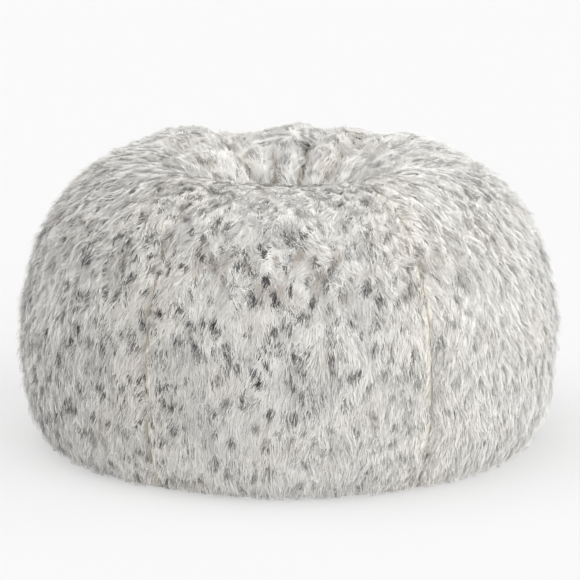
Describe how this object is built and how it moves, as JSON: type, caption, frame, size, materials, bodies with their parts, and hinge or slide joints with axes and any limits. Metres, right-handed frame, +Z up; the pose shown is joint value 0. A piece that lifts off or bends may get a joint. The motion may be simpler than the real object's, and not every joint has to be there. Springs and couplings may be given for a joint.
{
  "type": "bean bag chair",
  "caption": "Large round bean bag chair with a dipped seat: spotted long-pile fur gores over a bead-filled liner, with a zipped base.",
  "frame": {"origin": "middle of the flat base, on the floor", "axes": "+Z up through the middle of the seat, -Y towards the front, X along the base zips"},
  "size_m": [1.041, 1.0408, 0.552],
  "materials": {
    "fur": "long lying pile",
    "canvas": "plain weave",
    "seam_tape": "twill tape",
    "liner_cloth": "plain weave",
    "beads": "foamed polystyrene",
    "zip_tape": "herringbone tape",
    "zip_plastic": "moulded",
    "zip_metal": "nickel plated"
  },
  "bodies": {
    "bag": {"fur_panel_right_back": "fur", "fur_panel_back": "fur", "fur_panel_left_back": "fur", "fur_panel_left_front": "fur", "fur_panel_front": "fur", "fur_panel_right_front": "fur", "fur_crown_panel": "fur", "base_panel_front": "canvas", "base_panel_back": "canvas", "base_end_patches": "canvas", "base_zip_gusset": "canvas", "base_zip_strip_front": "canvas", "base_zip_strip_back": "canvas", "cover_zip_tape_front": "zip_tape", "cover_zip_tape_back": "zip_tape", "cover_zip_teeth_front": "zip_plastic", "cover_zip_teeth_back": "zip_plastic", "cover_zip_stops": "zip_metal", "liner_panel_right_back": "liner_cloth", "liner_panel_back": "liner_cloth", "liner_panel_left_back": "liner_cloth", "liner_panel_left_front": "liner_cloth", "liner_panel_front": "liner_cloth", "liner_panel_right_front": "liner_cloth", "liner_crown_panel": "liner_cloth", "liner_base_panel": "liner_cloth", "liner_zip_tape_front": "zip_tape", "liner_zip_tape_back": "zip_tape", "liner_zip_teeth_front": "zip_plastic", "liner_zip_teeth_back": "zip_plastic", "liner_zip_stops": "zip_metal", "cover_seam_tapes": "seam_tape", "bead_filling": "beads"},
    "cover_slider": {"cover_zip_slider": "zip_metal"},
    "pull_tab": {"cover_zip_pull_tab": "zip_metal"},
    "liner_slider": {"liner_zip_slider": "zip_metal"}
  },
  "joints": [
    {"name": "cover_zip_slide", "type": "slide", "parent": "bag", "child": "cover_slider", "axis": [-1, 0, 0], "range_m": [0, 0.625], "deforming": ["cover_zip_teeth_front", "cover_zip_teeth_back"]},
    {"name": "pull_tab_hinge", "type": "hinge", "parent": "cover_slider", "child": "pull_tab", "pos_m": [0.316, 0, 0.0018], "axis": [0, -1, 0], "range_deg": [0, 180]},
    {"name": "liner_zip_slide", "type": "slide", "parent": "bag", "child": "liner_slider", "axis": [-1, 0, 0], "range_m": [0, 0.285], "deforming": ["liner_zip_teeth_front", "liner_zip_teeth_back"]}
  ]
}
